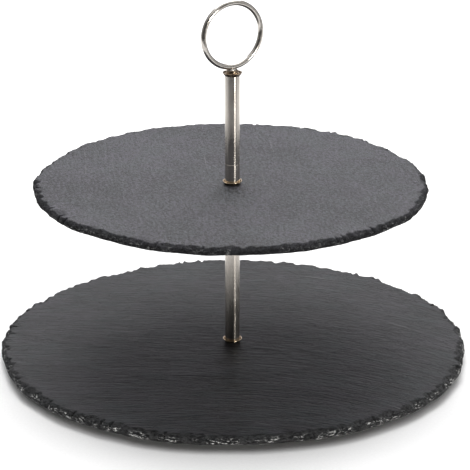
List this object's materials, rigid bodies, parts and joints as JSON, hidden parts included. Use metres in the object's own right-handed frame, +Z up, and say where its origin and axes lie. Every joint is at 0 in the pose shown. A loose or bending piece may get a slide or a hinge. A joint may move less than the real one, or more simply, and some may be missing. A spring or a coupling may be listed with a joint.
{
  "type": "tiered cake stand",
  "caption": "Tiered cake stand: round hand-cut slates on a brushed steel tube post that unscrews, with a screw-in ring handle to carry it by.",
  "frame": {"origin": "on the post's axis, at the level that the feet stand on", "axes": "+Z up along the post; the ring handle's plane is XZ"},
  "size_m": [0.3007, 0.3003, 0.2369],
  "materials": {
    "slate": "riven, matt",
    "brushed_steel": "brushed round the tube",
    "nickel": "polished nickel plate, warm tint",
    "polished_steel": "polished",
    "brass": "turned",
    "zinc_steel": "zinc plated",
    "fibre": "pressed fibre, matt",
    "rubber": "matt"
  },
  "bodies": {
    "base": {"lower_slate": "slate", "foot_1": "rubber", "foot_2": "rubber", "foot_3": "rubber", "foot_4": "rubber", "base_pad_washer": "fibre", "lower_pad_washer": "fibre", "lower_cup_washer": "nickel", "lower_tube": "brushed_steel", "lower_tube_bottom_insert": "brass", "lower_tube_top_insert": "brass", "joining_stud": "zinc_steel", "under_tier_cup_washer": "nickel", "under_tier_pad_washer": "fibre"},
    "bolt_washer": {"base_washer": "zinc_steel"},
    "bolt": {"base_bolt": "zinc_steel"},
    "upper_tier": {"upper_slate": "slate", "upper_pad_washer": "fibre"},
    "post_washer": {"upper_cup_washer": "nickel"},
    "upper_post": {"upper_tube": "brushed_steel", "upper_tube_bottom_insert": "brass", "upper_tube_top_insert": "brass"},
    "ring_washer": {"top_cup_washer": "nickel"},
    "ring": {"ring_stud": "zinc_steel", "ring_collar": "nickel", "ring_handle": "polished_steel"}
  },
  "joints": [
    {"name": "upper_tier_turn", "type": "hinge", "parent": "base", "child": "upper_tier", "pos_m": [0, 0, 0.1155], "axis": [0, 0, 1], "continuous": true},
    {"name": "upper_post_lift", "type": "slide", "parent": "base", "child": "post_washer", "axis": [0, 0, 1], "range_m": [0, 0.008]},
    {"name": "upper_post_unscrew", "type": "hinge", "parent": "post_washer", "child": "upper_post", "pos_m": [0, 0, 0.15], "axis": [0, 0, 1], "range_deg": [0, 3600]},
    {"name": "ring_lift", "type": "slide", "parent": "upper_post", "child": "ring_washer", "axis": [0, 0, 1], "range_m": [0, 0.008]},
    {"name": "ring_unscrew", "type": "hinge", "parent": "ring_washer", "child": "ring", "pos_m": [0, 0, 0.19], "axis": [0, 0, 1], "range_deg": [0, 3600]},
    {"name": "bolt_drop", "type": "slide", "parent": "base", "child": "bolt_washer", "axis": [0, 0, -1], "range_m": [0, 0.008]},
    {"name": "bolt_unscrew", "type": "hinge", "parent": "bolt_washer", "child": "bolt", "pos_m": [0, 0, 0.003], "axis": [0, 0, -1], "range_deg": [0, 3600]}
  ],
  "couplings": [
    {"joint": "upper_post_unscrew", "follows": "upper_post_lift", "rad_per_m": 7854},
    {"joint": "ring_unscrew", "follows": "ring_lift", "rad_per_m": 7854},
    {"joint": "bolt_unscrew", "follows": "bolt_drop", "rad_per_m": 7854}
  ]
}
